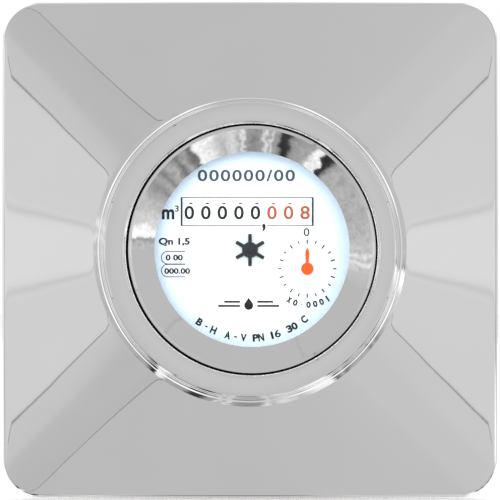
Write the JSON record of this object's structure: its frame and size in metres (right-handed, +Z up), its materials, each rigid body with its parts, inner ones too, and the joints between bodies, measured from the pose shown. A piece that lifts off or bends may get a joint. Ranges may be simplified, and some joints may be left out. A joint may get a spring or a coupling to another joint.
{
  "type": "flush-mounted water meter",
  "caption": "Flush-mounted single-jet water meter: chromed square wall plate, round bezel and dial with digit rollers, brass body with in-line pipe ports in the wall.",
  "frame": {"origin": "where the dial axis crosses the finished wall surface, in the plane of the wall plate's rim", "axes": "+X along the pipe from inlet to outlet, +Z up, +Y into the wall; the dial faces -Y"},
  "size_m": [0.15, 0.075, 0.15],
  "materials": {
    "chrome": "bright chrome plate",
    "brass": "cast and machined",
    "rubber": "matt black",
    "lens_clear": "clear, polished",
    "dial_print": "printed, satin",
    "white_plastic": "moulded, satin",
    "roller_plastic": "moulded, printed digits",
    "black_plastic": "moulded, satin",
    "red_plastic": "moulded, semi-gloss",
    "impeller_plastic": "moulded, satin",
    "steel": "turned and pressed stainless",
    "magnet": "bonded ferrite",
    "jewel": "polished synthetic ruby"
  },
  "bodies": {
    "meter_body": {"body_casting": "brass", "clamp_ring": "brass", "pressure_plate": "brass", "chamber_seal": "rubber", "inlet_strainer": "white_plastic", "upper_bearing": "jewel", "lower_bearing": "jewel", "impeller_spindle": "steel", "bezel_sleeve": "chrome", "sleeve_o_ring": "rubber", "plate_friction_ring": "rubber"},
    "cover_plate": {"cover_plate": "chrome"},
    "register": {"register_housing": "white_plastic", "lens_gasket": "rubber", "dial_lens": "lens_clear", "magnet_shield": "steel", "dial_plate": "dial_print", "movement_frame": "steel", "movement_screw_1": "steel", "movement_screw_2": "steel", "movement_screw_3": "steel", "carry_shaft": "steel"},
    "impeller": {"impeller": "impeller_plastic", "drive_magnet": "magnet"},
    "star_arbor": {"star_wheel": "black_plastic", "centre_arbor": "steel", "follower_magnet": "magnet"},
    "idler_arbor": {"idler_arbor": "steel", "idler_wheel": "white_plastic"},
    "pointer_arbor": {"flow_pointer": "red_plastic", "pointer_arbor": "steel", "pointer_wheel": "white_plastic", "pointer_drive_gear": "white_plastic"},
    "worm_arbor": {"worm_arbor": "steel", "worm_drive_gear": "white_plastic"},
    "roller_8": {"digit_roller_8": "roller_plastic", "roller_shaft": "steel", "worm_wheel": "white_plastic"},
    "roller_1": {"digit_roller_1": "roller_plastic"},
    "carry_pinion_1": {"carry_pinion_1": "white_plastic"},
    "roller_2": {"digit_roller_2": "roller_plastic"},
    "carry_pinion_2": {"carry_pinion_2": "white_plastic"},
    "roller_3": {"digit_roller_3": "roller_plastic"},
    "carry_pinion_3": {"carry_pinion_3": "white_plastic"},
    "roller_4": {"digit_roller_4": "roller_plastic"},
    "carry_pinion_4": {"carry_pinion_4": "white_plastic"},
    "roller_5": {"digit_roller_5": "roller_plastic"},
    "carry_pinion_5": {"carry_pinion_5": "white_plastic"},
    "roller_6": {"digit_roller_6": "roller_plastic"},
    "carry_pinion_6": {"carry_pinion_6": "white_plastic"},
    "roller_7": {"digit_roller_7": "roller_plastic"},
    "carry_pinion_7": {"carry_pinion_7": "white_plastic"}
  },
  "joints": [
    {"name": "plate_pull", "type": "slide", "parent": "meter_body", "child": "cover_plate", "axis": [0, -1, 0], "range_m": [0, 0.02]},
    {"name": "dial_turn", "type": "hinge", "parent": "meter_body", "child": "register", "pos_m": [0, 0, 0], "axis": [0, 1, 0], "range_deg": [-177.5, 177.5]},
    {"name": "impeller_spin", "type": "hinge", "parent": "meter_body", "child": "impeller", "pos_m": [0, 0, 0], "axis": [0, 1, 0], "continuous": true},
    {"name": "star_spin", "type": "hinge", "parent": "register", "child": "star_arbor", "pos_m": [0, 0, 0], "axis": [0, 1, 0], "continuous": true},
    {"name": "idler_spin", "type": "hinge", "parent": "register", "child": "idler_arbor", "pos_m": [0.0068, 0, -0.00589], "axis": [0, 1, 0], "continuous": true},
    {"name": "pointer_spin", "type": "hinge", "parent": "register", "child": "pointer_arbor", "pos_m": [0.0173, 0, -0.00565], "axis": [0, 1, 0], "continuous": true},
    {"name": "worm_spin", "type": "hinge", "parent": "register", "child": "worm_arbor", "pos_m": [0.0223, 0, 0.0053], "axis": [0, 1, 0], "continuous": true},
    {"name": "roller_8_spin", "type": "hinge", "parent": "register", "child": "roller_8", "pos_m": [0.01665, 0.0022, 0.0113], "axis": [1, 0, 0], "continuous": true},
    {"name": "roller_7_spin", "type": "hinge", "parent": "register", "child": "roller_7", "pos_m": [0.01165, 0.0022, 0.0113], "axis": [1, 0, 0], "continuous": true},
    {"name": "carry_pinion_7_spin", "type": "hinge", "parent": "register", "child": "carry_pinion_7", "pos_m": [0.01415, 0.00654, 0.01882], "axis": [1, 0, 0], "continuous": true},
    {"name": "roller_6_spin", "type": "hinge", "parent": "register", "child": "roller_6", "pos_m": [0.00665, 0.0022, 0.0113], "axis": [1, 0, 0], "continuous": true},
    {"name": "carry_pinion_6_spin", "type": "hinge", "parent": "register", "child": "carry_pinion_6", "pos_m": [0.00915, 0.00654, 0.01882], "axis": [1, 0, 0], "continuous": true},
    {"name": "roller_5_spin", "type": "hinge", "parent": "register", "child": "roller_5", "pos_m": [0.00165, 0.0022, 0.0113], "axis": [1, 0, 0], "continuous": true},
    {"name": "carry_pinion_5_spin", "type": "hinge", "parent": "register", "child": "carry_pinion_5", "pos_m": [0.00415, 0.00654, 0.01882], "axis": [1, 0, 0], "continuous": true},
    {"name": "roller_4_spin", "type": "hinge", "parent": "register", "child": "roller_4", "pos_m": [-0.00335, 0.0022, 0.0113], "axis": [1, 0, 0], "continuous": true},
    {"name": "carry_pinion_4_spin", "type": "hinge", "parent": "register", "child": "carry_pinion_4", "pos_m": [-0.00085, 0.00654, 0.01882], "axis": [1, 0, 0], "continuous": true},
    {"name": "roller_3_spin", "type": "hinge", "parent": "register", "child": "roller_3", "pos_m": [-0.00835, 0.0022, 0.0113], "axis": [1, 0, 0], "continuous": true},
    {"name": "carry_pinion_3_spin", "type": "hinge", "parent": "register", "child": "carry_pinion_3", "pos_m": [-0.00585, 0.00654, 0.01882], "axis": [1, 0, 0], "continuous": true},
    {"name": "roller_2_spin", "type": "hinge", "parent": "register", "child": "roller_2", "pos_m": [-0.01335, 0.0022, 0.0113], "axis": [1, 0, 0], "continuous": true},
    {"name": "carry_pinion_2_spin", "type": "hinge", "parent": "register", "child": "carry_pinion_2", "pos_m": [-0.01085, 0.00654, 0.01882], "axis": [1, 0, 0], "continuous": true},
    {"name": "roller_1_spin", "type": "hinge", "parent": "register", "child": "roller_1", "pos_m": [-0.01835, 0.0022, 0.0113], "axis": [1, 0, 0], "continuous": true},
    {"name": "carry_pinion_1_spin", "type": "hinge", "parent": "register", "child": "carry_pinion_1", "pos_m": [-0.01585, 0.00654, 0.01882], "axis": [1, 0, 0], "continuous": true}
  ],
  "couplings": [
    {"joint": "star_spin", "follows": "impeller_spin", "ratio": 1},
    {"joint": "idler_spin", "follows": "impeller_spin", "ratio": -0.2},
    {"joint": "pointer_spin", "follows": "impeller_spin", "ratio": 0.033333},
    {"joint": "worm_spin", "follows": "impeller_spin", "ratio": -0.033333},
    {"joint": "roller_8_spin", "follows": "impeller_spin", "ratio": 0.0033333},
    {"joint": "roller_7_spin", "follows": "impeller_spin", "ratio": 0.00033333},
    {"joint": "carry_pinion_7_spin", "follows": "impeller_spin", "ratio": -0.00083333},
    {"joint": "roller_6_spin", "follows": "impeller_spin", "ratio": 0.000033333},
    {"joint": "carry_pinion_6_spin", "follows": "impeller_spin", "ratio": -0.000083333},
    {"joint": "roller_5_spin", "follows": "impeller_spin", "ratio": 0.0000033333},
    {"joint": "carry_pinion_5_spin", "follows": "impeller_spin", "ratio": -0.0000083333},
    {"joint": "roller_4_spin", "follows": "impeller_spin", "ratio": 0.00000033333},
    {"joint": "carry_pinion_4_spin", "follows": "impeller_spin", "ratio": -0.00000083333},
    {"joint": "roller_3_spin", "follows": "impeller_spin", "ratio": 0.000000033333},
    {"joint": "carry_pinion_3_spin", "follows": "impeller_spin", "ratio": -0.000000083333},
    {"joint": "roller_2_spin", "follows": "impeller_spin", "ratio": 0.0000000033333},
    {"joint": "carry_pinion_2_spin", "follows": "impeller_spin", "ratio": -0.0000000083333},
    {"joint": "roller_1_spin", "follows": "impeller_spin", "ratio": 0.00000000033333},
    {"joint": "carry_pinion_1_spin", "follows": "impeller_spin", "ratio": -0.00000000083333}
  ]
}
